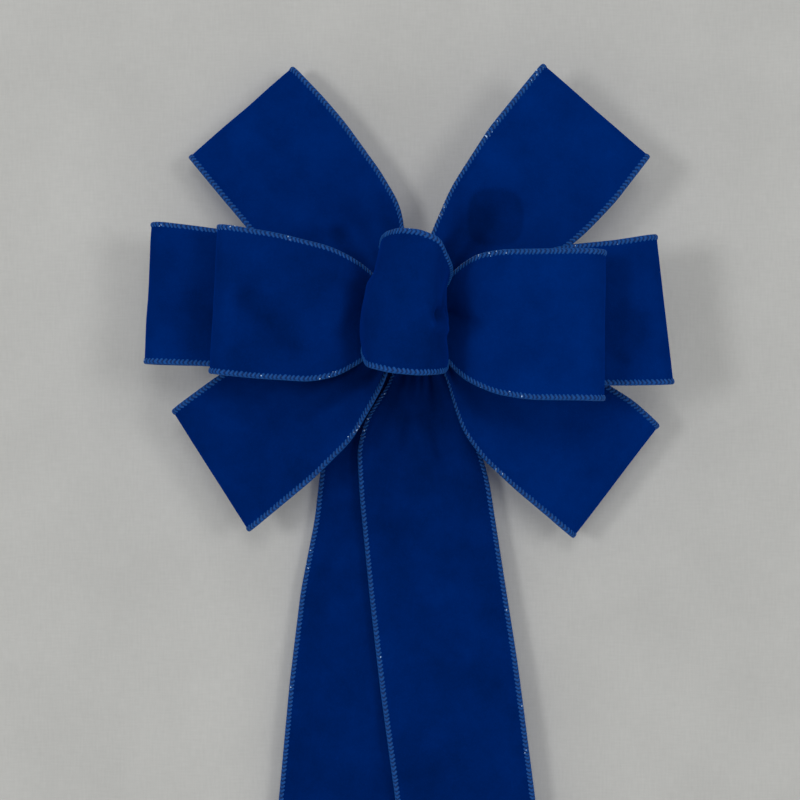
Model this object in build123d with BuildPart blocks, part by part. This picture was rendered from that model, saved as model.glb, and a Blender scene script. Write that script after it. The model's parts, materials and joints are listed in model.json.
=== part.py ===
from build123d import *
from math import atan2, cos, radians, sin
from typing import NamedTuple
import os

os.makedirs("parts", exist_ok=True)

# Hand-tied gift bow of wired velvet ribbon: eight outer loops in four layers, a round
# centre loop and two tails, all pinched together by a twist tie that ends in a hanging
# loop at the back. Millimetres, +Z up, and the bow faces -Y. The origin is the centre of
# the hanging loop where it meets the wall, so the wall is the plane Y = 0.

# The ribbon stock: number 40, two and a half inches wide over its stitched edges.
ribbon_width = 63.5
ribbon_thickness = 0.9
edging_width = 2.6
edging_thickness = 1.4
wire_size = 0.5
wire_inset = 1.0  # from the ribbon's edge to the wire inside the stitching

# The throat, where every layer is gathered to a small round bundle.
throat_z = -16.0
gather_radius = 7.4
running_gap = 0.4  # between the bundle and the loops that turn round it
throat_half = 7.0  # half the width that a pleated loop has at the throat
throat_start = 3.5  # no loop reaches nearer the throat's middle than this
layer_gap = 2.4  # between a loop's two layers at the throat

# The twist tie: a flat strip with a wire core.
tie_width = 4.0
tie_thickness = 0.5
tie_depth = 0.8  # how deep it bites into the bundle at top and bottom
hanging_bore = 5.0
shank_side = 2.0
shank_turn = 45.0
shank_steps = 6

# The front faces of the gathered layers, measured from the wall.
gather_fronts = {
    "tail_gather": 16.0,
    "lower_diagonal_gather": 26.3,
    "upper_diagonal_gather": 38.0,
    "rear_gather": 49.0,
    "front_gather": 57.0,
    "centre_gather": 69.7,
}
gather_back = tie_width + 2 * tie_thickness


class Loop(NamedTuple):
    """One ribbon loop. Angles run anticlockwise from +X as seen from the front."""

    direction: float  # the way the loop points
    reach: float  # throat to the outside of the fold
    sideways: float  # how far the fold lies to the left of that direction
    flare: float  # where the ribbon would reach full width, before rounding
    throat_depth: float  # distance in front of the wall at the throat
    fold_depth: float  # and at the fold
    fold_radius: float


loops = {
    "upper_left": Loop(131.0, 124.0, -3.5, 50.0, 21.0, 16.0, 6.5),
    "lower_right": Loop(-37.5, 120.5, -2.5, 46.0, 21.0, 24.0, 6.5),
    "upper_right": Loop(49.0, 124.0, -2.0, 48.0, 31.5, 38.0, 6.5),
    "lower_left": Loop(212.5, 114.5, 10.0, 46.0, 31.5, 33.0, 6.5),
    "rear_left": Loop(177.0, 118.5, -3.5, 44.0, 43.5, 49.0, 7.0),
    "rear_right": Loop(6.5, 110.0, -11.0, 42.0, 43.5, 62.0, 7.0),
    "front_left": Loop(177.0, 86.0, 1.0, 36.0, 53.0, 79.0, 8.0),
    "front_right": Loop(-0.5, 82.0, -6.5, 36.0, 53.0, 87.0, 8.5),
}
flare_radius = 30.0

# The centre loop: a round standing loop whose ribbon runs nearly upright.
centre_lean = 80.0
centre_radius = 20.5
centre_middle = 84.0  # the middle of its round front, from the wall
centre_throat = 67.5


class Tail(NamedTuple):
    """One hanging end, with a swallow-tail cut."""

    direction: float
    length: float
    depth: float  # distance in front of the wall


tails = {
    "left_tail": Tail(-97.0, 332.0, 8.0),
    "right_tail": Tail(-83.5, 340.0, 12.5),
}
tail_flare = 52.0
tail_notch = 30.0  # how deep the swallow-tail is cut

beyond = 30.0  # how far cutting outlines run past what they cut


def front_plane(direction):
    """Seen from the front: x along the loop, y across it to the left, z towards the viewer."""
    angle = radians(direction)
    return Plane(origin=(0, 0, throat_z), x_dir=(cos(angle), 0, sin(angle)), z_dir=(0, -1, 0))


def side_plane(direction):
    """Seen from the side: x along the loop, y towards the viewer."""
    angle = radians(direction)
    return Plane(
        origin=(0, 0, throat_z),
        x_dir=(cos(angle), 0, sin(angle)),
        z_dir=(sin(angle), 0, -cos(angle)),
    )


def hairpin(loop, thickness):
    """Section along a loop: two layers that part at the throat and meet in a round fold."""
    radius = loop.fold_radius + thickness / 2
    middle = Vector(loop.reach - loop.fold_radius - ribbon_thickness / 2, loop.fold_depth)
    slope = atan2(middle.Y - loop.throat_depth, middle.X)
    out = Vector(cos(slope), sin(slope))
    forward = Vector(-sin(slope), cos(slope))
    front, back = middle + forward * radius, middle - forward * radius
    half_gap = (layer_gap + thickness) / 2
    front_throat = Vector(0, loop.throat_depth + half_gap)
    back_throat = Vector(0, loop.throat_depth - half_gap)
    with BuildSketch(side_plane(loop.direction)) as section:
        with BuildLine():
            ThreePointArc(front, middle + out * radius, back)
            TangentArc(back, back_throat, tangent=-out)
            Line(back_throat, front_throat)
            TangentArc(front, front_throat, tangent=-out)
        make_face()
        offset(amount=-thickness, mode=Mode.SUBTRACT)
    return section.sketch


def spread(loop, inset):
    """Seen from the front: narrow at the throat, opening to the ribbon's full width."""
    half, end = ribbon_width / 2, loop.reach + beyond
    with BuildSketch(front_plane(loop.direction)) as outline:
        with BuildLine():
            left = FilletPolyline(
                (throat_start, throat_half),
                (loop.flare, loop.sideways + half),
                (end, loop.sideways + half),
                radius=flare_radius,
            )
            right = FilletPolyline(
                (throat_start, -throat_half),
                (loop.flare, loop.sideways - half),
                (end, loop.sideways - half),
                radius=flare_radius,
            )
            Line(left @ 0, right @ 0)
            Line(left @ 1, right @ 1)
        make_face()
        if inset:
            offset(amount=-inset, kind=Kind.INTERSECTION)
    return outline.sketch


def prism(face, height=130.0):
    """A front outline carried from the wall to well in front of the bow."""
    with BuildPart() as solid:
        extrude(face, amount=height, both=True)
    return solid.part


def throat_bore(start, end):
    """The round space that the bundle and its running gap take, between two depths."""
    with BuildPart() as bore:
        with BuildSketch(front_plane(0).offset(start)):
            Circle(gather_radius + running_gap)
        extrude(amount=end - start)
    return bore.part


through_bore = throat_bore(-beyond, 130.0)


def save(part, label):
    part.label = label
    export_step(part, f"parts/{label}.step")
    print(f"{label:34s} {len(part.solids())} solid(s) {part.volume:9.1f} mm3")


def edge_names(direction):
    """A loop's left-hand edge is its upper one when the loop points to the right."""
    return ("upper", "lower") if cos(radians(direction)) > 0 else ("lower", "upper")


def make_loop(name, loop):
    """The ribbon, its two stitched edges and the wires inside them."""
    inner = prism(spread(loop, edging_width))
    border = prism(spread(loop, 0))
    wire_outside = prism(spread(loop, wire_inset))
    wire_inside = prism(spread(loop, wire_inset + wire_size))

    with BuildPart() as ribbon:
        extrude(hairpin(loop, ribbon_thickness), amount=ribbon_width, both=True)
        add(inner, mode=Mode.INTERSECT)
        add(through_bore, mode=Mode.SUBTRACT)
    save(ribbon.part, f"{name}_ribbon")

    with BuildPart() as wires:
        extrude(hairpin(loop, wire_size), amount=ribbon_width, both=True)
        add(wire_outside, mode=Mode.INTERSECT)
        add(wire_inside, mode=Mode.SUBTRACT)
        add(through_bore, mode=Mode.SUBTRACT)
    save(wires.part, f"{name}_edge_wires")

    for side, edge in zip((-1, 1), edge_names(loop.direction)):
        with BuildPart() as edging:
            extrude(hairpin(loop, edging_thickness), amount=side * ribbon_width)
            add(border, mode=Mode.INTERSECT)
            add(inner, mode=Mode.SUBTRACT)
            add(through_bore, mode=Mode.SUBTRACT)
            add(wires.part, mode=Mode.SUBTRACT)
        save(edging.part, f"{name}_{edge}_edging")


def centre_section(thickness):
    """The centre loop seen along its ribbon's width: round in front, nearly flat behind."""
    radius = centre_radius + thickness / 2
    half_gap = (layer_gap + thickness) / 2
    lean = radians(centre_lean)
    plane = Plane(
        origin=(0, 0, throat_z), x_dir=(sin(lean), 0, -cos(lean)), z_dir=(cos(lean), 0, sin(lean))
    )
    left, right = Vector(-radius, -centre_middle), Vector(radius, -centre_middle)
    left_throat = Vector(-half_gap, thickness / 2 - centre_throat)
    right_throat = Vector(half_gap, thickness / 2 - centre_throat)
    with BuildSketch(plane) as section:
        with BuildLine():
            ThreePointArc(left, (0, -centre_middle - radius), right)
            TangentArc(right, right_throat, tangent=(0, 1))
            Line(right_throat, left_throat)
            TangentArc(left, left_throat, tangent=(0, 1))
        make_face()
        offset(amount=-thickness, mode=Mode.SUBTRACT)
    return section.sketch


def centre_envelope(inset):
    """Full width round the front, and pinched to a waist where it lies on the throat."""
    half = ribbon_width / 2
    # The half-turned front plane has its x across the loop and its y up the ribbon's width.
    facing = front_plane(centre_lean - 90)
    with BuildPart() as envelope:
        with BuildSketch(facing.offset(centre_middle)):
            Rectangle(2 * beyond, 2 * (half - inset))
        extrude(amount=beyond)
        with BuildSketch(facing.offset(centre_middle - beyond)):
            with BuildLine():
                top = Polyline(
                    (-beyond, half),
                    (-centre_radius + 1, half),
                    (-throat_start, throat_half),
                    (throat_start, throat_half),
                    (centre_radius - 1, half),
                    (beyond, half),
                )
                bottom = mirror(top, about=Plane.XZ)
                Line(top @ 0, bottom @ 0)
                Line(top @ 1, bottom @ 1)
            make_face()
            if inset:
                offset(amount=-inset, kind=Kind.INTERSECTION)
        extrude(amount=beyond)
    return envelope.part


def make_centre_loop():
    inner, border = centre_envelope(edging_width), centre_envelope(0)
    wire_outside = centre_envelope(wire_inset)
    wire_inside = centre_envelope(wire_inset + wire_size)
    bore = throat_bore(centre_throat - 6, centre_throat + 6)

    with BuildPart() as ribbon:
        extrude(centre_section(ribbon_thickness), amount=ribbon_width, both=True)
        add(inner, mode=Mode.INTERSECT)
        add(bore, mode=Mode.SUBTRACT)
    save(ribbon.part, "centre_loop_ribbon")

    with BuildPart() as wires:
        extrude(centre_section(wire_size), amount=ribbon_width, both=True)
        add(wire_outside, mode=Mode.INTERSECT)
        add(wire_inside, mode=Mode.SUBTRACT)
        add(bore, mode=Mode.SUBTRACT)
    save(wires.part, "centre_loop_edge_wires")

    for side, edge in zip((-1, 1), ("lower", "upper")):
        with BuildPart() as edging:
            extrude(centre_section(edging_thickness), amount=side * ribbon_width)
            add(border, mode=Mode.INTERSECT)
            add(inner, mode=Mode.SUBTRACT)
            add(bore, mode=Mode.SUBTRACT)
            add(wires.part, mode=Mode.SUBTRACT)
        save(edging.part, f"centre_loop_{edge}_edging")


def tail_strip(tail, inset, thickness):
    """A flat tail, gathered at the top and cut to a swallow-tail at the end."""
    half, end = ribbon_width / 2, tail.length + beyond
    with BuildPart() as strip:
        with BuildSketch(front_plane(tail.direction).offset(tail.depth - thickness / 2)):
            with BuildLine():
                left = FilletPolyline(
                    (throat_start, throat_half), (tail_flare, half), (end, half), radius=flare_radius
                )
                right = mirror(left, about=Plane.XZ)
                Line(left @ 0, right @ 0)
                Line(left @ 1, right @ 1)
            make_face()
            if inset:
                offset(amount=-inset, kind=Kind.INTERSECTION)
            with BuildLine():
                Polyline(
                    (-beyond, half),
                    (tail.length, half),
                    (tail.length - tail_notch, 0),
                    (tail.length, -half),
                    (-beyond, -half),
                    close=True,
                )
            make_face(mode=Mode.INTERSECT)
        extrude(amount=thickness)
        add(through_bore, mode=Mode.SUBTRACT)
    return strip.part


def make_tail(name, tail):
    """A tail's ribbon, its two stitched edges and the wires inside them."""
    with BuildPart() as ribbon:
        add(tail_strip(tail, edging_width, ribbon_thickness))
    save(ribbon.part, f"{name}_ribbon")

    with BuildPart() as wires:
        add(tail_strip(tail, wire_inset, wire_size))
        add(tail_strip(tail, wire_inset + wire_size, wire_size), mode=Mode.SUBTRACT)
    save(wires.part, f"{name}_edge_wires")

    # The tail points down, so its plane's y points to the right.
    along = Plane(origin=(0, 0, throat_z), z_dir=front_plane(tail.direction).y_dir)
    for keep, edge in zip((Keep.TOP, Keep.BOTTOM), ("right", "left")):
        with BuildPart() as edging:
            add(tail_strip(tail, 0, edging_thickness))
            add(tail_strip(tail, edging_width, edging_thickness), mode=Mode.SUBTRACT)
            add(wires.part, mode=Mode.SUBTRACT)
            split(bisect_by=along, keep=keep)
        save(edging.part, f"{name}_{edge}_edging")


def make_gathers():
    """The pleated bundle at the throat, one round slice to each layer of ribbon."""
    back = gather_back
    pleat, pleats = 0.7, 12
    notch_z = gather_radius - tie_depth
    for name, front in gather_fronts.items():
        with BuildPart() as gather:
            with BuildSketch(front_plane(0).offset(back)):
                Circle(gather_radius)
                with PolarLocations(gather_radius + pleat / 3, pleats, start_angle=15):
                    Circle(pleat, mode=Mode.SUBTRACT)
                with Locations((0, notch_z + gather_radius), (0, -notch_z - gather_radius)):
                    Rectangle(tie_width + 0.4, 2 * gather_radius, mode=Mode.SUBTRACT)
            extrude(amount=front - back)
        save(gather.part, name)
        back = front


def make_tie():
    """The flat strip round the bundle, its twisted shank and the loop that hangs on a nail."""
    front, back = gather_fronts["centre_gather"], gather_back
    height = 2 * (gather_radius - tie_depth)
    with BuildPart() as band:
        with BuildSketch(side_plane(90)):
            with Locations((0, (front + back) / 2)):
                Rectangle(height + 2 * tie_thickness, front - back + 2 * tie_thickness)
                Rectangle(height, front - back, mode=Mode.SUBTRACT)
        extrude(amount=tie_width / 2, both=True)
    save(band.part, "tie_band")

    # The loop stands edge-on to the wall, so the strip's width is the bore's length.
    with BuildPart() as hanging:
        with BuildSketch(Plane.XZ):
            Circle(hanging_bore + tie_thickness)
            Circle(hanging_bore, mode=Mode.SUBTRACT)
        extrude(amount=tie_width)
    save(hanging.part, "hanging_loop")

    # The two ends twisted together, from the middle of the band up to the hanging loop.
    reach = -throat_z - hanging_bore - tie_thickness / 2
    middle = gather_back - tie_thickness - shank_side * 0.71
    with BuildPart() as shank:
        for step in range(shank_steps + 1):
            level = Plane(origin=(0, -middle, throat_z + reach * step / shank_steps))
            with BuildSketch(level):
                Rectangle(shank_side, shank_side, rotation=shank_turn * step)
        loft(ruled=True)
        with BuildSketch(Plane.XZ):
            Circle(hanging_bore + tie_thickness)
        extrude(amount=tie_width, mode=Mode.SUBTRACT)
    save(shank.part, "tie_shank")


for name, loop in loops.items():
    make_loop(name, loop)
make_centre_loop()
for name, tail in tails.items():
    make_tail(name, tail)
make_gathers()
make_tie()
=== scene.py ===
import json
import math

import bpy
import numpy as np
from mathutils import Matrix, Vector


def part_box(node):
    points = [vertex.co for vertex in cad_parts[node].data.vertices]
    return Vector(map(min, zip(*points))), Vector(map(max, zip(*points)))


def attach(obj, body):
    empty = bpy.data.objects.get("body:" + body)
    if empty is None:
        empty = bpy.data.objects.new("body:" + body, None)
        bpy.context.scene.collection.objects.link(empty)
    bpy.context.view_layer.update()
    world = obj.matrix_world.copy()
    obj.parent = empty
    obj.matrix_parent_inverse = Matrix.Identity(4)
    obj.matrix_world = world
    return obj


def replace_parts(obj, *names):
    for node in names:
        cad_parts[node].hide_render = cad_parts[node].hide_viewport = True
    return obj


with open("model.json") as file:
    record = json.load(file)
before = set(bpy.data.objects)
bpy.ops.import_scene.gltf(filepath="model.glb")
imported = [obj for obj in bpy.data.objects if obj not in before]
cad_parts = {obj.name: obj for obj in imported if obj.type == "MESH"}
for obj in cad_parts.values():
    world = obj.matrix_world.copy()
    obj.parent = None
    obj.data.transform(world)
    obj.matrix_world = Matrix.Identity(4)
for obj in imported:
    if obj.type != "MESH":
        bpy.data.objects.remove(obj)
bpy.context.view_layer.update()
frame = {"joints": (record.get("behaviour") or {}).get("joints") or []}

mm = 0.001
# every loop and tail turns about the throat, where the tie binds the ribbon
throat = np.array(frame["joints"][0]["pos_m"])
print("frame loaded, throat at", throat.round(4))

# number 40 ribbon, in millimetres: velvet face, woven back, stitched edges with a wire inside
ribbon = {
    "width": 63.5,
    "thickness": 0.8,
    "throatStart": 7.6,  # outside the gathers and the tie, so that a loop turns freely round them
    "layerGap": 1.2,  # from the middle of a loop to each layer, at the throat
    "seam": 0.7,  # how far the velvet stops short of the stitching's outside
    "alongCount": 200,
    "acrossCount": 73,
    "throatPleats": 10,  # half waves across it where the tie holds it
}

# ---- small tools


def linear(hexColour):
    parts = [int(hexColour[i : i + 2], 16) / 255 for i in (1, 3, 5)]
    return [p / 12.92 if p <= 0.04045 else ((p + 0.055) / 1.055) ** 2.4 for p in parts] + [1.0]


def ease(x, low, high):
    x = np.clip((np.asarray(x, float) - low) / (high - low), 0, 1)
    return x * x * (3 - 2 * x)


def easyCurve(points, x, rounding=7.0):
    # straight runs between a few points, with the corners rubbed round by a sliding average
    xs, ys = zip(*points)
    offsets = np.linspace(-rounding, rounding, 15)
    weights = 1.05 - np.abs(offsets) / rounding  # heaviest in the middle, and never quite nothing
    return sum(w * np.interp(x + o, xs, ys) for o, w in zip(offsets, weights)) / weights.sum()


def evenly(points, count):
    # resampled to equal steps; columns after the first three go along with the place
    steps = np.linalg.norm(np.diff(points[:, :3], axis=0), axis=1)
    far = np.concatenate([[0], np.cumsum(steps)])
    where = np.linspace(0, far[-1], count)
    return np.stack([np.interp(where, far, column) for column in points.T], axis=1), far[-1]


def unit(vectors):
    return vectors / np.maximum(np.linalg.norm(vectors, axis=-1, keepdims=True), 1e-12)


def gridNormals(grid):
    return unit(np.cross(np.gradient(grid, axis=1), np.gradient(grid, axis=0)))


def unevenness(seed, x, y, longest=70.0, shortest=24.0):
    # slow, shallow waves that no two loops share
    dice = np.random.default_rng(seed)
    total = np.zeros(np.broadcast(x, y).shape)
    waves, fullTurn = 7, 6.28
    for _ in range(waves):
        length = dice.uniform(shortest, longest)
        heading = dice.uniform(0, math.pi)
        start = dice.uniform(0, fullTurn)
        total += np.sin(fullTurn * (x * math.cos(heading) + y * math.sin(heading)) / length + start) * length
    return total / (waves * longest)


def frontPoint(direction, out, across, forward):
    # out along a loop, across to its left as seen from the front, forward from the wall
    angle = math.radians(direction)
    x = out * math.cos(angle) - across * math.sin(angle)
    z = out * math.sin(angle) + across * math.cos(angle)
    return np.stack([x, -forward, z], axis=-1) * mm + (0, 0, throat[2])


def newMesh(name, vertices, faces, materials):
    mesh = bpy.data.meshes.new(name)
    mesh.from_pydata(vertices.reshape(-1, 3).tolist(), [], faces)
    for material in materials:
        mesh.materials.append(material)
    mesh.polygons.foreach_set("use_smooth", [True] * len(mesh.polygons))
    mesh.update()
    piece = bpy.data.objects.new(name, mesh)
    bpy.context.scene.collection.objects.link(piece)
    return piece


def gridFaces(rows, columns, closed=False):
    faces = []
    for i in range(rows - 1):
        for j in range(columns if closed else columns - 1):
            k = (j + 1) % columns
            faces.append((i * columns + j, (i + 1) * columns + j, (i + 1) * columns + k, i * columns + k))
    return faces


def paint(piece, name, values):
    layer = piece.data.attributes.new(name, "FLOAT", "POINT")
    layer.data.foreach_set("value", np.asarray(values, np.float32).ravel())


def addNode(tree, kind, settings=None, inputs=None):
    # settings are the node's own; an input is a value, or the socket that feeds it
    node = tree.nodes.new(kind)
    for key, value in (settings or {}).items():
        setattr(node, key, value)
    for key, value in (inputs or {}).items():
        if isinstance(value, bpy.types.NodeSocket):
            tree.links.new(value, node.inputs[key])
        else:
            node.inputs[key].default_value = value
    return node


def newMaterial(name):
    material = bpy.data.materials.new(name)
    material.use_nodes = True
    material.node_tree.nodes.clear()
    return material, material.node_tree


# ---- materials

velvet = {
    "pile": "#002367",
    "brushed": "#002b78",  # where the pile leans towards the light
    "shaded": "#001b52",
    "rim": "#004fd8",  # what the tips of the pile catch at a turned surface
    "sheen": 0.3,
    "handMarks": 24.0,  # a patch of pile that a hand has brushed one way
    "napAndShade": 3.2,  # short streaks along the ribbon
    "tuft": 0.7,  # real pile is finer; this is as fine as can show
}


def cutPileVelvet():
    # woven polyester, pile cut short: deep and matt, a little lighter along turned rims; painted shade
    # darkens its creases and some patches
    material, tree = newMaterial("royalBlueCutPileVelvet")
    place = addNode(tree, "ShaderNodeTexCoord").outputs["Object"]
    # painted shade and tone: each piece's napAndShade attribute, darker along creases and in listed patches,
    # and its whole face a little lighter or darker
    paintedShadeAndTone = addNode(tree, "ShaderNodeAttribute", {"attribute_name": "napAndShade"}).outputs["Fac"]
    marks = addNode(tree, "ShaderNodeTexNoise", None, {
        "Vector": place, "Scale": 1 / (velvet["handMarks"] * mm), "Detail": 4.0, "Roughness": 0.6,
    })
    napAndShade = addNode(tree, "ShaderNodeTexNoise", None, {
        "Vector": place, "Scale": 1 / (velvet["napAndShade"] * mm), "Detail": 2.0, "Roughness": 0.6,
    })
    tuft = addNode(tree, "ShaderNodeTexNoise", None, {
        "Vector": place, "Scale": 1 / (velvet["tuft"] * mm), "Detail": 1.0,
    })
    height = addNode(tree, "ShaderNodeMath", {"operation": "MULTIPLY_ADD"}, {
        0: napAndShade.outputs["Fac"], 1: 0.5, 2: tuft.outputs["Fac"],
    })
    lean = addNode(tree, "ShaderNodeMath", {"operation": "MULTIPLY_ADD"}, {
        0: height.outputs[0], 1: 0.25, 2: marks.outputs["Fac"],
    })
    leanAndPaintedShade = addNode(tree, "ShaderNodeMath", {"operation": "ADD"}, {0: lean.outputs[0], 1: paintedShadeAndTone})
    shade = addNode(tree, "ShaderNodeMapRange", None, {
        "Value": leanAndPaintedShade.outputs[0], "From Min": 0.25, "From Max": 1.1,
    })
    colour = addNode(tree, "ShaderNodeValToRGB", None, {"Fac": shade.outputs[0]})
    ramp = colour.color_ramp.elements
    ramp[0].color, ramp[1].color = linear(velvet["shaded"]), linear(velvet["brushed"])
    ramp.new(0.5).color = linear(velvet["pile"])
    bump = addNode(tree, "ShaderNodeBump", None, {
        "Height": height.outputs[0], "Strength": 0.35, "Distance": 0.3 * mm,
    })
    shader = addNode(tree, "ShaderNodeBsdfPrincipled", None, {
        "Base Color": colour.outputs[0], "Roughness": 0.95, "IOR": 1.5, "Specular IOR Level": 0.0,
        "Sheen Weight": velvet["sheen"], "Sheen Roughness": 0.5, "Sheen Tint": linear(velvet["rim"]),
        "Normal": bump.outputs[0],
    })
    addNode(tree, "ShaderNodeOutputMaterial", None, {"Surface": shader.outputs[0]})
    return material


backing = {"ground": "#032365", "thread": "#083684", "rib": 0.9, "slub": 1.5}


def wovenBack():
    # the flat ground that the pile is woven into: duller than satin, ribbed across the ribbon
    material, tree = newMaterial("wovenPolyesterBack")
    along = addNode(tree, "ShaderNodeAttribute", {"attribute_name": "lengthAlong"}).outputs["Fac"]
    place = addNode(tree, "ShaderNodeTexCoord").outputs["Object"]
    phase = addNode(tree, "ShaderNodeMath", {"operation": "MULTIPLY"}, {0: along, 1: 6.28 / backing["rib"]})
    ribs = addNode(tree, "ShaderNodeMath", {"operation": "SINE"}, {0: phase.outputs[0]})
    slubs = addNode(tree, "ShaderNodeTexNoise", None, {
        "Vector": place, "Scale": 1 / (backing["slub"] * mm), "Detail": 3.0,
    })
    height = addNode(tree, "ShaderNodeMath", {"operation": "MULTIPLY_ADD"}, {
        0: ribs.outputs[0], 1: 0.25, 2: slubs.outputs["Fac"],
    })
    colour = addNode(tree, "ShaderNodeMix", {"data_type": "RGBA"}, {
        0: height.outputs[0], 6: linear(backing["ground"]), 7: linear(backing["thread"]),
    })
    bump = addNode(tree, "ShaderNodeBump", None, {
        "Height": height.outputs[0], "Strength": 0.3, "Distance": 0.12 * mm,
    })
    shader = addNode(tree, "ShaderNodeBsdfPrincipled", None, {
        "Base Color": colour.outputs[2], "Roughness": 0.7, "IOR": 1.5, "Specular IOR Level": 0.12,
        "Normal": bump.outputs[0],
    })
    addNode(tree, "ShaderNodeOutputMaterial", None, {"Surface": shader.outputs[0]})
    return material


edging = {
    "thread": "#063a7a",
    "threadLight": "#185aac",
    "shadedHollow": "#042860",  # painted shade, down between two stitches
    "film": "#b4d0f4",  # a strand of silver film runs with the thread; its sparkle is painted in as pale specks, painted glints
    "glintSpeck": 0.5,
    "glintStretch": 16.0,  # more painted glints show in some stretches than in others
    "glintRarity": 1.2,
    "fuzz": 0.8,
    "width": 2.6,
    "height": 1.5,
    "stitch": 1.9,
    "slant": 3.0,  # how far a stitch leans between the middle of the edging and its rim
    "bend": 0.1,  # where the two halves of a stitch meet: 1 is the outside, -1 is over the velvet
    "chain": 0.28,  # width of the chain that locks the stitches, along the outside
    "chainHeight": 0.8,
    "ridge": 0.3,
    "plumpness": 0.8,  # under 1, a stitch is wider than the hollow beside it
    "drift": 0.35,  # how far the stitches wander along the edge
    "tension": 0.5,  # how unevenly they are pulled
    "bite": 0.5,  # how far a stitch reaches into the velvet past the next
    "stepsPerStitch": 8,
    "around": 18,
}


def overlockedThread():
    # textured polyester thread, tight over the edge: soft gloss, painted shade in the hollows between
    # stitches, and rare painted glints where its silver film sparkles
    material, tree = newMaterial("overlockedPolyesterThread")
    ridge = addNode(tree, "ShaderNodeAttribute", {"attribute_name": "ridge"}).outputs["Fac"]
    place = addNode(tree, "ShaderNodeTexCoord").outputs["Object"]
    fuzz = addNode(tree, "ShaderNodeTexNoise", None, {
        "Vector": place, "Scale": 1 / (edging["fuzz"] * mm), "Detail": 2.0,
    })
    stretch = addNode(tree, "ShaderNodeTexNoise", None, {
        "Vector": place, "Scale": 1 / (edging["glintStretch"] * mm),
    })
    thread = addNode(tree, "ShaderNodeMix", {"data_type": "RGBA"}, {
        0: fuzz.outputs["Fac"], 6: linear(edging["thread"]), 7: linear(edging["threadLight"]),
    })
    # painted shade: the thread darker down in the hollows between stitches
    raised = addNode(tree, "ShaderNodeMapRange", {"interpolation_type": "SMOOTHSTEP"}, {
        "Value": ridge, "From Min": 0.1, "From Max": 0.8,
    })
    colour = addNode(tree, "ShaderNodeMix", {"data_type": "RGBA"}, {
        0: raised.outputs[0], 6: linear(edging["shadedHollow"]), 7: thread.outputs[2],
    })
    # painted glints: rare pale specks where the silver film would catch the light
    grains = addNode(tree, "ShaderNodeTexVoronoi", None, {
        "Vector": place, "Scale": 1 / (edging["glintSpeck"] * mm),
    })
    chance = addNode(tree, "ShaderNodeSeparateColor", None, {"Color": grains.outputs["Color"]})
    likely = addNode(tree, "ShaderNodeMath", {"operation": "MULTIPLY_ADD"}, {
        0: stretch.outputs["Fac"], 1: 0.35, 2: chance.outputs[0],
    })
    glint = addNode(tree, "ShaderNodeMath", {"operation": "GREATER_THAN"}, {
        0: likely.outputs[0], 1: edging["glintRarity"],
    })
    shown = addNode(tree, "ShaderNodeMix", {"data_type": "RGBA"}, {
        0: glint.outputs[0], 6: colour.outputs[2], 7: linear(edging["film"]),
    })
    gloss = addNode(tree, "ShaderNodeMapRange", None, {
        "Value": glint.outputs[0], "To Min": 0.6, "To Max": 0.25,
    })
    bump = addNode(tree, "ShaderNodeBump", None, {
        "Height": fuzz.outputs["Fac"], "Strength": 0.4, "Distance": 0.15 * mm,
    })
    shader = addNode(tree, "ShaderNodeBsdfPrincipled", None, {
        "Base Color": shown.outputs[2], "Roughness": gloss.outputs[0], "IOR": 1.5,
        "Specular IOR Level": 0.15, "Normal": bump.outputs[0],
    })
    addNode(tree, "ShaderNodeOutputMaterial", None, {"Surface": shader.outputs[0]})
    return material


wire = {"thickness": 0.5, "zinc": "#b4b8ba", "streak": 0.4}


def drawnSteel():
    # galvanised florist wire, drawn through a die: grey, half bright, streaked along its length
    material, tree = newMaterial("drawnGalvanisedWire")
    place = addNode(tree, "ShaderNodeTexCoord").outputs["Object"]
    streaks = addNode(tree, "ShaderNodeTexNoise", None, {
        "Vector": place, "Scale": 1 / (wire["streak"] * mm), "Detail": 2.0,
    })
    rough = addNode(tree, "ShaderNodeMapRange", None, {
        "Value": streaks.outputs["Fac"], "To Min": 0.28, "To Max": 0.48,
    })
    shader = addNode(tree, "ShaderNodeBsdfPrincipled", None, {
        "Base Color": linear(wire["zinc"]), "Metallic": 1.0, "Roughness": rough.outputs[0],
    })
    addNode(tree, "ShaderNodeOutputMaterial", None, {"Surface": shader.outputs[0]})
    return material


tieFinish = {"film": "#0a1f4a", "stretched": "#1d3f86", "crease": 1.8}


def twistTieFilm():
    # PVC extruded over a steel core: half gloss, paler where twisting has stretched it
    material, tree = newMaterial("extrudedPvcTwistTie")
    place = addNode(tree, "ShaderNodeTexCoord").outputs["Object"]
    creases = addNode(tree, "ShaderNodeTexNoise", None, {
        "Vector": place, "Scale": 1 / (tieFinish["crease"] * mm), "Detail": 3.0,
    })
    colour = addNode(tree, "ShaderNodeMix", {"data_type": "RGBA"}, {
        0: creases.outputs["Fac"], 6: linear(tieFinish["film"]), 7: linear(tieFinish["stretched"]),
    })
    bump = addNode(tree, "ShaderNodeBump", None, {
        "Height": creases.outputs["Fac"], "Strength": 0.35, "Distance": 0.2 * mm,
    })
    shader = addNode(tree, "ShaderNodeBsdfPrincipled", None, {
        "Base Color": colour.outputs[2], "Roughness": 0.36, "IOR": 1.53, "Normal": bump.outputs[0],
    })
    addNode(tree, "ShaderNodeOutputMaterial", None, {"Surface": shader.outputs[0]})
    return material


velvetFace, velvetBack = cutPileVelvet(), wovenBack()
stitchThread, wireSteel, tieFilm = overlockedThread(), drawnSteel(), twistTieFilm()
print("materials made")

# ---- ribbon


pleating = {
    "bunching": 0.13,  # how unevenly the pleats share the width
    "tightFrom": 0.3,  # the share of the width that is taken up where the small pleats begin
    "tightTo": 0.8,  # and where there are only small ones
    "throatFullness": 0.85,
    "settling": 24,  # halvings of the height that gives a row its width
    "rowsShared": 9,
}


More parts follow.
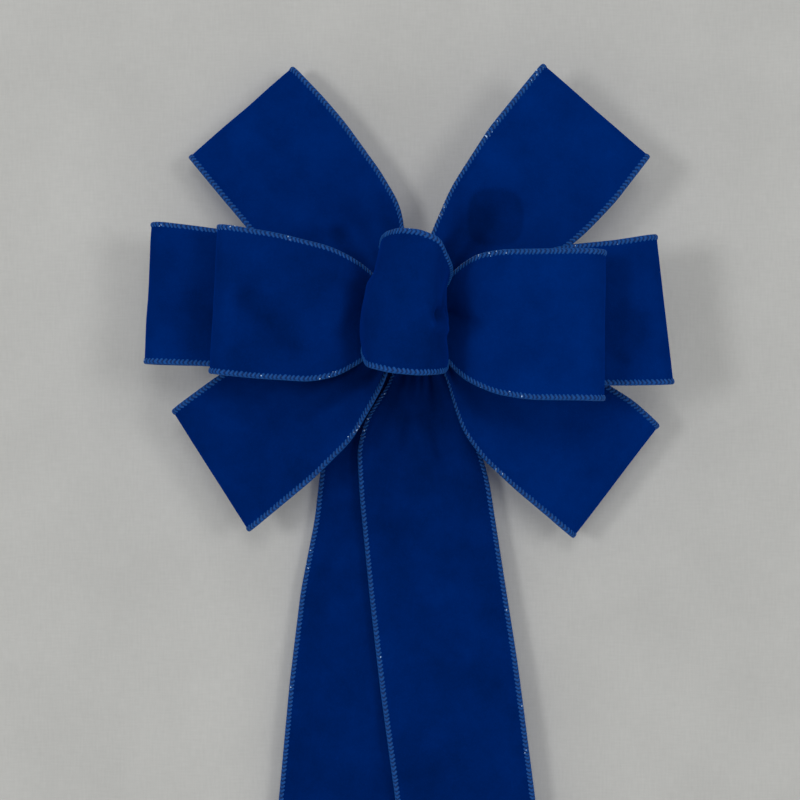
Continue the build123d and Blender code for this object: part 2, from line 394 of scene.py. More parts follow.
def gatherAcross(left, right, look, seed):
    # Each row across the ribbon keeps its real width: what the view from the front doesn't
    # show of it stands up in pleats, many small ones at the throat and few soft ones further out.
    rows = len(left)
    place = np.linspace(-1, 1, ribbon["acrossCount"])[None, :]
    dice = np.random.default_rng(seed)
    uneven = np.sin(2.2 * place * math.pi / 2 + dice.uniform(0, 6.28)) * (1 - place**2)
    bunched = place + pleating["bunching"] * uneven
    across = (left + right)[:, None] / 2 + (left - right)[:, None] / 2 * place
    shortfall = 1 - (left - right) / ribbon["width"]
    many = ease(shortfall, look.get("tightFrom", pleating["tightFrom"]), pleating["tightTo"])[:, None]
    few = sum(
        weight * np.sin(halves * math.pi * (bunched + 1) / 2) for halves, weight in look["softPleats"].items()
    )
    tight = np.sin(ribbon["throatPleats"] * math.pi * (bunched + 1) / 2)
    shape = many * tight + (1 - many) * few
    fullness = look["fullness"] * (1 - many[:, 0]) + pleating["throatFullness"] * many[:, 0]
    wanted = (left - right) + np.maximum(ribbon["width"] - (left - right), 0) * fullness
    low, high = np.zeros(rows), np.full(rows, look["pleatLimit"])
    spacing = np.diff(across, axis=1)
    rise = np.diff(shape, axis=1)
    for _ in range(pleating["settling"]):
        middle = (low + high) / 2
        length = np.hypot(spacing, middle[:, None] * rise).sum(axis=1)
        short = length < wanted
        low, high = np.where(short, middle, low), np.where(short, high, middle)
    # neighbouring rows share their heights, so that no pleat jumps
    span = pleating["rowsShared"]
    amount = np.convolve(np.pad(middle, span // 2, mode="edge"), np.ones(span) / span, mode="valid")
    return across, shape * amount[:, None]


def denting(out, across, dents):
    # a crease is a soft groove between two places: out, across, out, across, radius, depth
    depth = np.zeros(out.shape)
    fading = 0.35  # a crease is shallower towards its far end
    for a, b, c, d, radius, deep in dents:
        run = np.array([c - a, d - b])
        share = np.clip(((out - a) * run[0] + (across - b) * run[1]) / (run @ run + 1e-9), 0, 1)
        away = np.hypot(out - a - share * run[0], across - b - share * run[1])
        depth += deep * np.exp(-((away / radius) ** 2)) * (1 - fading * share)
    return depth


def velvetPiece(name, grid, napAndShade):
    rows, columns = grid.shape[:2]
    piece = newMesh(name, grid, gridFaces(rows, columns), [velvetFace, velvetBack])
    # painted shade and tone, read by the velvet's colour
    paint(piece, "napAndShade", napAndShade)
    steps = np.linalg.norm(np.diff(grid, axis=0), axis=2).mean(axis=1) / mm
    paint(piece, "lengthAlong", np.repeat(np.concatenate([[0], np.cumsum(steps)]), columns))
    solid = piece.modifiers.new("cloth thickness", "SOLIDIFY")
    solid.thickness, solid.offset = ribbon["thickness"] * mm, 0.0
    solid.material_offset, solid.material_offset_rim = 1, 1
    return piece, steps.sum()


def stitchedEdge(name, grid, side):
    # thread bundles wound over the ribbon's edge, every stitch the same length
    last = -1 if side > 0 else 0
    edge, inside = grid[:, last], grid[:, -4 if side > 0 else 3]
    rail = np.concatenate([edge, unit(edge - inside), gridNormals(grid)[:, last]], axis=1)
    length = np.linalg.norm(np.diff(edge, axis=0), axis=1).sum() / mm
    rail, _ = evenly(rail, int(length / edging["stitch"] * edging["stepsPerStitch"]))
    outwards = unit(rail[:, 3:6])
    normal = unit(rail[:, 6:9] - outwards * (rail[:, 6:9] * outwards).sum(axis=1, keepdims=True))
    middle = rail[:, :3] - outwards * (edging["width"] / 2 - ribbon["seam"]) * mm
    far = np.linspace(0, length, len(rail))[:, None]
    turn = np.linspace(0, 2 * math.pi, edging["around"], endpoint=False)[None, :]
    drift = edging["drift"] * unevenness(len(rail), far, 0 * far, 9.0, 3.0)
    across = np.cos(turn)
    wave = 2 * math.pi * (far / edging["stitch"] + drift) + edging["slant"] * np.abs(across - edging["bend"])
    pull = 1 + edging["tension"] * unevenness(len(rail) + 1, far, 0 * far, 5.0, 2.0)
    stitches = (0.5 + 0.5 * np.cos(wave)) ** edging["plumpness"] * pull
    chain = edging["chainHeight"] * np.exp(-(((across - 1) / edging["chain"]) ** 2))
    ridge = np.maximum(stitches, chain)
    inner = np.clip(-across, 0, 1)
    wide = edging["width"] / 2 * (0.94 + 0.06 * ridge) + edging["bite"] * (ridge - 0.4) * inner
    high = edging["height"] / 2 * (1 - edging["ridge"] + 2 * edging["ridge"] * ridge)
    points = (
        middle[:, None, :]
        + outwards[:, None, :] * (wide * np.cos(turn) * mm)[..., None]
        + normal[:, None, :] * (high * np.sin(turn) * mm)[..., None]
    )
    rows, columns = points.shape[:2]
    faces = gridFaces(rows, columns, closed=True)
    faces.append(tuple(range(columns)))
    faces.append(tuple(range(rows * columns - 1, (rows - 1) * columns - 1, -1)))
    piece = newMesh(name, points, faces, [stitchThread])
    paint(piece, "ridge", ridge)
    return piece, middle


def wirePair(name, lines):
    # the bare wires inside both stitched edges
    curve = bpy.data.curves.new(name, "CURVE")
    curve.dimensions = "3D"
    curve.bevel_depth = wire["thickness"] / 2 * mm
    curve.bevel_resolution = 2
    curve.use_fill_caps = True
    curve.materials.append(wireSteel)
    for line in lines:
        spline = curve.splines.new("POLY")
        spline.points.add(len(line) - 1)
        spline.points.foreach_set("co", np.c_[line, np.ones(len(line))].ravel())
        spline.use_smooth = True
    piece = bpy.data.objects.new(name, curve)
    bpy.context.scene.collection.objects.link(piece)
    return piece


def dress(node, body, grid, napAndShade, edgeNames):
    # velvet, stitching and wires for one length of ribbon; edgeNames are right then left
    velvetStrip, length = velvetPiece(f"{node}_velvet", grid, napAndShade)
    onIt, lines = [], []
    for side, edge in zip((-1, 1), edgeNames):
        stitching, line = stitchedEdge(f"{node}_{edge}_stitching", grid, side)
        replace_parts(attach(stitching, body), f"{node}_{edge}_edging")
        onIt.append(stitching)
        lines.append(line[:: edging["stepsPerStitch"] * 2])
    wires = wirePair(f"{node}_wires", lines)
    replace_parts(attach(wires, body), f"{node}_edge_wires")
    onIt.append(wires)
    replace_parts(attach(velvetStrip, body), f"{node}_ribbon")
    return length


# ---- outer loops

# Directions run anticlockwise from the right. Each edge is given by (out, across) places, across
# to the left of the loop's direction. Puff lifts the front layer's middle near the throat.
# wholeTone makes a piece's whole face a little lighter or darker
outerLoops = {
    "upper_left": {
        "direction": 131.0, "reach": 124.0, "throatDepth": 21.0, "foldDepth": 16.0, "foldRadius": 6.5,
        "left": [(5, 5.6), (16, 10), (35, 24), (50, 29.7), (74, 31), (98, 30.6), (124, 29.6)],
        "right": [
            (5, -5.6), (16, -10), (26, -18), (35, -25.6), (44, -30), (60, -33), (88, -35.4),
            (105, -35.6), (124, -35),
        ],
        "belly": 0.0, "softPleats": {3: 0.5, 4: 0.35, 1: 0.2},
        "puff": 0.6, "fullness": 0.55, "pleatLimit": 3.2,
        "dents": [
            (30, 4, 51, 1, 4, 3.0), (50, 1, 57, 7, 4.0, 1.4), (34, -18, 58, -29, 5.5, 2.6),
            (64, -2, 96, 6, 14, 0.8),
        ],
        "wholeTone": 0.12, "shadeAndTonePatches": [(92, 6, 26, 9, 0.1, 8, 0)],
    },
    "lower_right": {
        "direction": -37.5, "reach": 121.0, "throatDepth": 21.0, "foldDepth": 24.0, "foldRadius": 6.5,
        "left": [(5, 5.6), (16, 9), (35, 20), (60, 27.5), (91, 29.8), (104, 31.0), (120, 29.7)],
        "right": [
            (5, -5.6), (20, -8.5), (31, -13.5), (39, -20), (51, -28), (65, -32.2), (87, -34.5),
            (120, -36),
        ],
        "belly": 0.0, "softPleats": {3: 0.5, 5: 0.25, 1: 0.3},
        "puff": 0.5, "fullness": 0.55, "pleatLimit": 3.2,
        "dents": [(30, 3, 58, 8, 4.5, 1.8), (30, -6, 50, -13, 4, 1.4), (70, -10, 100, 0, 14, 0.7)],
        "wholeTone": 0.19, "shadeAndTonePatches": [],
    },
    "upper_right": {
        "direction": 49.0, "reach": 124.6, "throatDepth": 31.5, "foldDepth": 38.0, "foldRadius": 6.5,
        "left": [(5, 5.6), (18, 10), (32, 17.4), (55, 24.4), (86, 29.2), (124, 30.3)],
        "right": [
            (5, -5.6), (18, -12), (30, -20), (45, -28), (67, -33.4), (80, -35.2), (99, -36),
            (124, -34.4),
        ],
        "belly": 0.0, "softPleats": {3: 0.5, 4: -0.35, 1: 0.3},
        "puff": 0.5, "fullness": 0.55, "pleatLimit": 3.2,
        "dents": [(28, 6, 46, 9, 4, 2.6), (26, -2, 44, -3, 4, 2.4), (44, 0, 60, 2, 8, 1.4)],
        "wholeTone": 0.16,
        "shadeAndTonePatches": [
            (58, 0.5, 12.6, 12.8, -0.31, 2.2, 49), (50, 8, 12, 7, -0.14, 9, 49),
            (38, 3, 9, 7, -0.2, 8, 0),
        ],
    },
    "lower_left": {
        "direction": 212.5, "reach": 115.6, "throatDepth": 31.5, "foldDepth": 33.0, "foldRadius": 6.5,
        "left": [(5, 5.6), (16, 10), (26, 18.6), (33, 22.8), (54, 33.4), (79, 39), (115, 43.6)],
        "right": [(5, -5.6), (16, -10), (30, -17), (60, -24.0), (91, -24.0), (115, -22.3)],
        "belly": 0.0, "softPleats": {3: 0.5, 4: 0.3, 1: 0.2},
        "puff": 0.3, "fullness": 0.45, "pleatLimit": 3.2,
        "dents": [
            (32, 12, 66, 11, 4, 2.4), (34, 3, 60, -3, 4.5, 1.8), (34, 18, 54, 24, 4, 1.2),
            (76, 6, 98, 18, 12, 0.8),
        ],
        "wholeTone": 0.0, "shadeAndTonePatches": [],
    },
    "rear_left": {
        "direction": 177.0, "reach": 118.5, "throatDepth": 43.5, "foldDepth": 49.0, "foldRadius": 7.0,
        "left": [(5, 5.6), (16, 10), (32, 20), (54, 27), (89, 28.6), (118, 28.8)],
        "right": [(5, -5.6), (16, -11), (32, -22), (54, -30), (88, -32.8), (118, -34.8)],
        "belly": 0.0, "softPleats": {3: 0.5, 4: 0.3, 1: 0.2},
        "puff": 0.4, "fullness": 0.5, "pleatLimit": 3.2,
        "dents": [(90, -6, 104, 6, 6, 1.2), (88, 8, 96, 16, 5, 1.0)],
        "wholeTone": 0.0, "shadeAndTonePatches": [],
    },
    "rear_right": {
        "direction": 6.5, "reach": 110.6, "throatDepth": 43.5, "foldDepth": 62.0, "foldRadius": 7.0,
        "left": [(5, 5.6), (16, 9), (40, 18.5), (68, 21.8), (90, 21.3), (110, 22)],
        "right": [(5, -5.6), (16, -11), (32, -25), (54, -37), (82, -42), (110, -44.6)],
        "belly": 0.0, "softPleats": {3: 0.5, 4: -0.3, 1: 0.2},
        "puff": 0.4, "fullness": 0.5, "pleatLimit": 3.2,
        "dents": [(88, -30, 97, -20, 6, 1.6)],
        "wholeTone": 0.08, "shadeAndTonePatches": [(91, -20, 8, 12, -0.18, 6, 0)],
    },
    "front_left": {
        "direction": 177.0, "reach": 86.0, "throatDepth": 53.0, "foldDepth": 79.0, "foldRadius": 8.0,
        "left": [(5, 5.6), (12, 13), (20, 22.6), (31, 30), (43, 33), (64, 33.2), (86, 31.6)],
        "right": [(5, -5.6), (12, -10), (19, -17), (25, -21), (37, -26.3), (59, -29.8), (86, -33)],
        "belly": 4.5, "softPleats": {3: 0.5, 2: 0.35, 1: 0.4},
        "puff": 0.9, "fullness": 0.6, "pleatLimit": 3.2,
        "dents": [(70, -2, 48, 18, 5.4, 3.2), (18, -2, 28, 10, 5, 2.4), (20, -8, 34, -12, 4, 1.2)],
        "wholeTone": -0.06, "shadeAndTonePatches": [],
    },
    "front_right": {
        "direction": -0.5, "reach": 82.0, "throatDepth": 53.0, "foldDepth": 87.0, "foldRadius": 8.5,
        "left": [(5, 5.6), (12, 12), (19, 19.5), (27, 24.9), (38, 26.6), (83, 26.2)],
        "right": [
            (5, -5.6), (12, -16), (17, -24), (22, -29), (29, -33), (37, -36.2), (51, -38.2),
            (83, -38.3),
        ],
        "belly": 3.0, "softPleats": {3: 0.45, 2: -0.3},
        "puff": 1.0, "fullness": 0.6, "pleatLimit": 3.2,
        "dents": [(16, 0, 26, -5, 4, 3.0), (56, -8, 50, -18, 6, 0.6)],
        "wholeTone": 0.15, "shadeAndTonePatches": [(6, -2, 15, 44, -0.35, 9, 0)],
    },
}


def loopLine(look):
    # a loop seen from the side: out in front, round the fold, and back behind
    radius = look["foldRadius"]
    start = np.array([0.0, look["throatDepth"]])
    fold = np.array([look["reach"] - radius - ribbon["thickness"] / 2, look["foldDepth"]])
    run = np.linalg.norm(fold - start)
    along = (fold - start) / run
    forward = np.array([-along[1], along[0]])
    far = np.linspace(ribbon["throatStart"], run, 80)[:, None]
    apart = radius - (radius - ribbon["layerGap"]) * ((run - far) / run) ** 2
    risesFrom, risesTo, fallsFrom = 17, 38, 30
    belly = look["belly"] * ease(far, risesFrom, risesTo) * (1 - ease(far, fallsFrom, run)) * 1.4
    front = start + far * along + (apart + belly) * forward
    back = start + far * along - apart * forward
    turn = np.linspace(math.pi / 2, -math.pi / 2, 40)[1:-1, None]
    end = fold + radius * (np.cos(turn) * along + np.sin(turn) * forward)
    line = np.concatenate([front, end, back[::-1]])
    line, _ = evenly(np.c_[line[:, 0], line[:, 1], np.zeros(len(line))], ribbon["alongCount"])
    line = line[:, :2]
    heading = unit(np.gradient(line, axis=0))
    outward = np.stack([-heading[:, 1], heading[:, 0]], axis=1)
    return line, outward


def makeOuterLoop(name, look, seed):
    line, outward = loopLine(look)
    out, forward = line[:, 0], line[:, 1]
    share = np.linspace(0, 1, len(out))
    # the layer behind is a little narrower from the fold on
    behind = 0.8 * ease(share, 0.52, 0.72) * ease(out, 8, 40)
    sway = 0.5 * unevenness(seed + 50, share * 240, 0 * share, 80, 40)
    left = easyCurve(look["left"], out) - ribbon["seam"] + sway - behind
    right = easyCurve(look["right"], out) + ribbon["seam"] + sway + behind
    across, lifted = gatherAcross(left, right, look, seed)
    place = np.linspace(-1, 1, ribbon["acrossCount"])[None, :]
    outGrid = np.broadcast_to(out[:, None], across.shape)
    inFront = (1 - ease(share, 0.46, 0.52))[:, None]
    puff = look["puff"] * (1 - place**2) * (ease(outGrid, 10, 34) * (1 - ease(outGrid, 40, 95)))
    soft = 1.3 * unevenness(seed, share[:, None] * 240, across) * ease(outGrid, 12, 40)
    soft = soft * (1 - 0.8 * ease(outGrid, look["reach"] - 20, look["reach"] - 4))
    dent = denting(outGrid, across, look["dents"]) * inFront * (1 - 0.8 * place**6)
    swell = soft + puff - dent
    grid = frontPoint(
        look["direction"], outGrid + swell * outward[:, :1], across,
        forward[:, None] + lifted + swell * outward[:, 1:],
    )
    # painted shade: darker all along a crease, and in the listed patches, on top of the piece's whole tone
    napAndShade = look["wholeTone"] - 0.1 * dent
    # painted shade in patches: the hollows by the throat on the front right and upper right loops, a dimple
    # on the rear right loop, and a hard-edged darker patch on the upper right loop; the patch on the upper
    # left loop is lighter
    for outAt, acrossAt, outSize, acrossSize, value, softness, degrees in look["shadeAndTonePatches"]:
        turned = math.radians(degrees)
        fromOut, fromAcross = outGrid - outAt, across - acrossAt
        sideways = np.abs(fromOut * math.cos(turned) - fromAcross * math.sin(turned)) / outSize
        upwards = np.abs(fromOut * math.sin(turned) + fromAcross * math.cos(turned)) / acrossSize
        away = (sideways**3 + upwards**3) ** (1 / 3)
        half = softness / outSize / 2
        napAndShade = napAndShade + value * (1 - ease(away, 1 - half, 1 + half)) * inFront
    return grid, napAndShade


for number, (name, look) in enumerate(outerLoops.items()):
    grid, napAndShade = makeOuterLoop(name, look, 11 * number + 3)
    edges = ("lower", "upper") if math.cos(math.radians(look["direction"])) > 0 else ("upper", "lower")
    length = dress(name, f"{name}_loop", grid, napAndShade, edges)
    print(f"{name} loop made, {length:.0f} mm of ribbon")

# ---- centre loop

# A round standing loop. Places round it are in millimetres from the middle of its front, to the
# right; up is along the ribbon's width, which leans to the right.
centreLoop = {
    "lean": 80.0, "radius": 20.5, "middle": 84.0, "throatDepth": 67.5,
    "top": [
        (-54, 5.6), (-48, 11), (-38, 23), (-30, 28.6), (-24, 30.4), (-14, 32.2), (-3, 32.8), (6.4, 31),
        (13.6, 27.6), (20, 24), (26, 21.5), (32, 19), (44, 11), (54, 5.6),
    ],
    "bottom": [
        (-54, -5.6), (-48, -10), (-38, -19), (-30, -24.5), (-17, -27.8), (-5, -28.6), (7.4, -27.6),
        (20, -25.6), (30, -24), (38, -18), (46, -10.5), (54, -5.6),
    ],
    "softPleats": {3: -0.5, 4: 0.3}, "tightFrom": 0.62, "fullness": 0.12, "pleatLimit": 2.4,
    "puff": 1.4, "drawnIn": 0.34, "stepIn": 0.11, "tuckedIn": 4.2, "wholeTone": -0.1,
    # the pinch that comes in from the right, its branch, and the lip that it pushes up
    "dents": [
        (15, -0.5, 26, 1.5, 3.2, 3.6), (20, 6, 28, 16, 3.6, 1.6),
        (5, 1, 11, -4.5, 1.8, -0.8), (12, -6, 27, -6, 2.2, -2.0),
        (-44, 2, -33, 4, 4.0, 1.6), (-44, -8, -34, -9, 4.0, 1.2),
    ],
}


def makeCentreLoop(look, seed):
    radius, middle, depth = look["radius"], look["middle"], look["throatDepth"]
    # from the throat the sides swell out to the round front
    swelling = np.linspace(0, math.pi / 2, 40)
    gap = ribbon["layerGap"]
    side = np.c_[gap + (radius - gap) * np.sin(swelling), depth + (middle - depth) * (1 - np.cos(swelling))]
    turn = np.linspace(-math.pi / 2, math.pi / 2, 90)[1:-1]
    front = np.c_[radius * np.sin(turn), middle + radius * np.cos(turn)]
    side = side[side[:, 0] > ribbon["throatStart"]]
    line = np.concatenate([side * (-1, 1), front, side[::-1]])
    line, length = evenly(np.c_[line, np.zeros(len(line))], ribbon["alongCount"])
    heading = unit(np.gradient(line[:, :2], axis=0))
    outward = np.stack([-heading[:, 1], heading[:, 0]], axis=1)
    roundPlace = np.linspace(-length / 2, length / 2, len(line))
    top = easyCurve(look["top"], roundPlace, 4.0) - ribbon["seam"]
    bottom = easyCurve(look["bottom"], roundPlace, 4.0) + ribbon["seam"]
    across, lifted = gatherAcross(top, bottom, look, seed)
    # the left side runs smooth right back to the throat
    lifted = lifted * np.maximum(ease(roundPlace, -4, 16), ease(-roundPlace, 38, 50))[:, None]
    place = np.linspace(-1, 1, ribbon["acrossCount"])[None, :]
    roundGrid = np.broadcast_to(roundPlace[:, None], across.shape)
    dent = denting(roundGrid, across, look["dents"]) * (1 - 0.8 * place**6)
    puff = look["puff"] * (1 - place**2) * ease(40 - abs(roundGrid), 0, 20)
    tucked = look["tuckedIn"] * ease(-across, 8, 30) * ease(-roundGrid, 12, 28)
    swell = 0.8 * unevenness(seed, roundGrid, across) + puff + lifted - dent - tucked
    sideways = line[:, :1] + swell * outward[:, :1]
    # its right side is drawn in, most of all towards the top
    narrowing = look["drawnIn"] * (0.32 + 0.68 * ease(across, -20, 4)) * ease(roundGrid, -2, 16)
    narrowing = narrowing + look["stepIn"] * ease(across, 6, 14) * ease(-roundGrid, 6, 18)
    sideways = sideways * (1 - narrowing)
    forward = line[:, 1:2] + swell * outward[:, 1:]
    lean = math.radians(look["lean"])
    x = sideways * math.sin(lean) + across * math.cos(lean)
    z = -sideways * math.cos(lean) + across * math.sin(lean)
    # painted shade: darker along each crease, on top of the loop's whole tone
    return np.stack([x, -forward, z], axis=-1) * mm + (0, 0, throat[2]), look["wholeTone"] - 0.1 * dent


grid, napAndShade = makeCentreLoop(centreLoop, 171)
length = dress("centre_loop", "centre_loop", grid, napAndShade, ("lower", "upper"))
print(f"centre loop made, {length:.0f} mm of ribbon")

# ---- tails

# across is to the viewer's right, because a tail points down
tails = {
    "left_tail": {
        "direction": -97.8, "length": 332.0,
        "hang": [(5, 7.2), (110, 7.6), (200, 12.0), (340, 10.0)],
        "wave": 0.6, "notch": 30.0, "wholeTone": -0.09,
        "left": [(5, 5.6), (20, 12), (45, 24), (70, 29), (140, 29.5), (340, 31.0)],
        "right": [
            (5, -5.6), (20, -14), (45, -28), (70, -33.0), (100, -32.3), (134, -34.2), (176, -33.5),
            (233, -31.0), (340, -32),
        ],
        "softPleats": {5: 0.5, 7: 0.3}, "fullness": 0.4, "pleatLimit": 1.3,
        "dents": [(30, -6, 90, -12, 5, 1.0), (30, -14, 80, -22, 5, 0.9)],
    },
    "right_tail": {
        "direction": -83.9, "length": 340.0,
        "hang": [(5, 12.8), (80, 13.2), (110, 13.6), (200, 19.5), (345, 16.0)],
        "wave": 1.0, "notch": 30.0, "wholeTone": -0.1,
        "left": [
            (5, 5.6), (20, 12), (45, 22), (79, 27.8), (122, 29.8), (164, 31.8), (230, 33.2),
            (345, 32.5),
        ],
        "right": [
            (5, -5.6), (18, -8), (30, -14.4), (45, -26.8), (59, -32.0), (82, -33.1), (129, -33.4),
            (171, -33.0), (223, -31.4), (345, -31.5),
        ],
        "softPleats": {5: 0.5, 7: 0.35}, "fullness": 0.4, "pleatLimit": 1.8,
        "dents": [
            (22, -1, 36, -3, 3.6, 1.4), (46, -8, 64, -17, 3.8, 1.9), (46, 1, 64, 7, 3.8, 1.9),
            (26, 7, 48, 9, 5, 2.0), (30, -13, 56, -22, 4, 1.0),
        ],
    },
}


def makeTail(look, seed):
    out = np.linspace(ribbon["throatStart"], look["length"], 260)
    left = easyCurve(look["left"], out) - ribbon["seam"]
    right = easyCurve(look["right"], out) + ribbon["seam"]
    across, lifted = gatherAcross(left, right, look, seed)
    place = np.linspace(-1, 1, ribbon["acrossCount"])[None, :]
    outGrid = np.broadcast_to(out[:, None], across.shape)
    soft = look["wave"] * 2 * unevenness(seed, outGrid * 0.55, across, 80, 36) * ease(outGrid, 20, 60)
    dent = denting(outGrid, across, look["dents"])
    hang = easyCurve(look["hang"], out, 30.0)[:, None]
    forward = hang + lifted + np.clip(soft, -look["wave"], look["wave"]) - dent
    # the swallow-tail cut
    cut = look["notch"] * (1 - np.abs(place)) * ease(outGrid, look["length"] - 110, look["length"])
    # painted shade: darker along each crease, on top of the tail's whole tone
    return frontPoint(look["direction"], outGrid - cut, across, forward), look["wholeTone"] - 0.1 * dent


for number, (name, look) in enumerate(tails.items()):
    grid, napAndShade = makeTail(look, 300 + number * 17)
    length = dress(name, name, grid, napAndShade, ("left", "right"))
    print(f"{name} made, {length:.0f} mm of ribbon")

# ---- throat

bundle = {
    "radius": 7.4,
    "flutes": 15,
    "fluteDepth": 0.55,
    "round": 1.6,
    "tieBite": 6.5,
    "tieHalf": 2.4,
    "layerWave": 2.3,  # radians of the layers' wave to each millimetre
    "layerDepth": 0.32,
}


def makeGather(node, seed):
    # the pleats of one layer, pressed into a round slice by the tie
    low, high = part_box(node)
    back, front = -high[1] / mm, -low[1] / mm
    dice = np.random.default_rng(seed)
    turn = np.linspace(0, 2 * math.pi, 120, endpoint=False)[None, :]
    edge = bundle["round"]
    inwards = np.linspace(0.04, 1, 12)[:-1]
    bend = np.linspace(0, math.pi / 2, 6)
    radii = list(inwards * (bundle["radius"] - edge)) + list(bundle["radius"] - edge + edge * np.sin(bend))
    depths = [back] * len(inwards) + list(back + edge - edge * np.cos(bend))
    wall = np.linspace(back + edge, front - edge, 10)[1:-1]
    radii = radii + [bundle["radius"]] * len(wall) + radii[::-1]
    depths = depths + list(wall) + [front + back - d for d in depths[::-1]]
    radii, depths = np.array(radii)[:, None], np.array(depths)[:, None]
    share = radii / bundle["radius"]
    flute = np.abs(np.sin(bundle["flutes"] * turn / 2 + dice.uniform(0, 3) + 0.5 * np.sin(3 * turn)))
    flute = flute * (0.7 + 0.3 * np.sin(2 * turn + dice.uniform(0, 6)))
    # pleats also show end-on, as folded layers side by side
    x, z = radii * np.cos(turn), radii * np.sin(turn)
    layers = np.sin(x * bundle["layerWave"] + 0.8 * np.sin(z * 0.7 + seed)) * bundle["layerDepth"]
    layers = layers * (1 - share**6)
    fromMiddle = depths - (front + back) / 2
    facing = np.sign(fromMiddle) * (np.abs(fromMiddle) > (front - back) / 2 - edge)
    r = radii - bundle["fluteDepth"] * flute * share**4
    x, z = r * np.cos(turn), r * np.sin(turn)
    underTie = 1 - ease(np.abs(x), bundle["tieHalf"] - 0.4, bundle["tieHalf"] + 0.5)
    squeezed = np.minimum(np.abs(z), bundle["tieBite"])
    z = np.sign(z) * (squeezed * underTie + np.abs(z) * (1 - underTie))
    y = depths - 0.3 * facing + facing * layers
    points = np.stack([x, -(y + 0 * x), z], axis=-1) * mm + (0, 0, throat[2])
    rows, columns = points.shape[:2]
    faces = gridFaces(rows, columns, closed=True)
    faces.append(tuple(range(columns)))
    faces.append(tuple(range(rows * columns - 1, (rows - 1) * columns - 1, -1)))
    piece = newMesh(f"{node}_pleats", points, faces, [velvetFace])
    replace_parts(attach(piece, "throat_bundle"), node)
    return piece


gathers = ["tail", "lower_diagonal", "upper_diagonal", "rear", "front", "centre"]
for number, name in enumerate(gathers):
    makeGather(f"{name}_gather", 40 + number)
print("gathers made")

tie = {
    "width": 4.0,
    "foldedWidth": 2.0,  # twisting folds the film in on itself
    "film": 0.35,
    "core": 1.1,
    "corner": 2.2,
    "shankTurns": 2.6,
    "strandApart": 0.62,  # from the shank's middle to each strand
    "ringRadius": 5.35,
    "ringMiddle": 2.0,  # forward of the wall
}


def tieSection(width):
    # a flat film with a round core along its middle, seen along the tie
    half, film, core = width / 2, tie["film"] / 2, tie["core"] / 2
    filmMeetsCore = 0.32
    arc = np.linspace(filmMeetsCore, math.pi - filmMeetsCore, 7)
    spread = 1.3  # the film lies over the core like a low tent
    overCore = [(core * math.cos(a) * spread, core * math.sin(a)) for a in arc]
    top = [(half, film)] + overCore + [(-half, film)]
    return np.array(top + [(-x, -y) for x, y in top])


def sweepTie(name, line, side, width, closed):
    # the section carried along a line, with its width along side
    section = tieSection(width)
    gradient = np.roll(line, -1, axis=0) - np.roll(line, 1, axis=0) if closed else np.gradient(line, axis=0)
    heading = unit(gradient)
    side = unit(side - heading * (side * heading).sum(axis=1, keepdims=True))
    normal = np.cross(heading, side)
    points = line[:, None, :] + section[None, :, :1] * side[:, None, :]
    points = points + section[None, :, 1:] * normal[:, None, :]
    rows, columns = points.shape[:2]
    faces = gridFaces(rows, columns, closed=True)
    if closed:
        last = (rows - 1) * columns
        faces += [(last + j, j, (j + 1) % columns, last + (j + 1) % columns) for j in range(columns)]
    else:
        faces.append(tuple(range(columns)))
        faces.append(tuple(range(rows * columns - 1, (rows - 1) * columns - 1, -1)))
    return newMesh(name, points * mm + (0, 0, throat[2]), faces, [tieFilm])


def roundedBox(halfHeight, back, front, corner, steps=8):
    # round from the top at the back, over the front, and back underneath
    quarter = math.pi / 2
    corners = [
        (halfHeight, back, 2 * quarter), (halfHeight, front, quarter),
        (-halfHeight, front, 0), (-halfHeight, back, -quarter),
    ]
    line = []
    for z, forward, start in corners:
        inZ = z - math.copysign(corner, z)
        inForward = forward + (corner if forward == back else -corner)
        for step in range(steps + 1):
            turn = start - quarter * step / steps
            line.append((0.0, -(inForward + corner * math.cos(turn)), inZ + corner * math.sin(turn)))
    return np.array(line)


low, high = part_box("tie_band")
bandBack, bandFront = -high[1] / mm, -low[1] / mm
bandHalf = (high[2] - low[2]) / 2 / mm
inset = 0.25  # from the band's outside to the middle of its film
bandLine = roundedBox(bandHalf - inset, bandBack + inset, bandFront - inset, tie["corner"])
band = sweepTie("tie_band_film", bandLine, np.tile([1.0, 0, 0], (len(bandLine), 1)), tie["width"], True)
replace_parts(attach(band, "throat_bundle"), "tie_band")


def makeShank():
    # the tie's two ends twisted round each other, up to the hanging loop
    low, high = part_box("tie_shank")
    rows = 120
    up = np.linspace(low[2] - throat[2], high[2] - throat[2], rows) / mm
    middle = -(low[1] + high[1]) / 2 / mm
    turn = np.linspace(0, tie["shankTurns"] * 2 * math.pi, rows)
    lines = []
    for start in (0, math.pi):
        x, y = np.cos(turn + start), np.sin(turn + start)
        line = np.stack([tie["strandApart"] * x, -middle + tie["strandApart"] * y, up], axis=1)
        lines.append((line, np.stack([-y, x, 0 * turn], axis=1)))
    return lines


strands = []
for number, (line, side) in enumerate(makeShank()):
    strand = sweepTie(f"tie_shank_strand{number}", line, side, tie["foldedWidth"], False)
    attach(strand, "throat_bundle")
    strands.append(strand)
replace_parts(strands[0], "tie_shank")

ringTurn = np.linspace(0, 2 * math.pi, 72, endpoint=False)
ringLine = np.stack([
    tie["ringRadius"] * np.cos(ringTurn),
    0 * ringTurn - tie["ringMiddle"],
    tie["ringRadius"] * np.sin(ringTurn) - throat[2] / mm,
], axis=1)
ring = sweepTie("hanging_loop_film", ringLine, np.tile([0.0, 1.0, 0], (len(ringLine), 1)), tie["width"], True)
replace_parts(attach(ring, "throat_bundle"), "hanging_loop")
print("tie made")

# ---- wall, floor, lights and camera

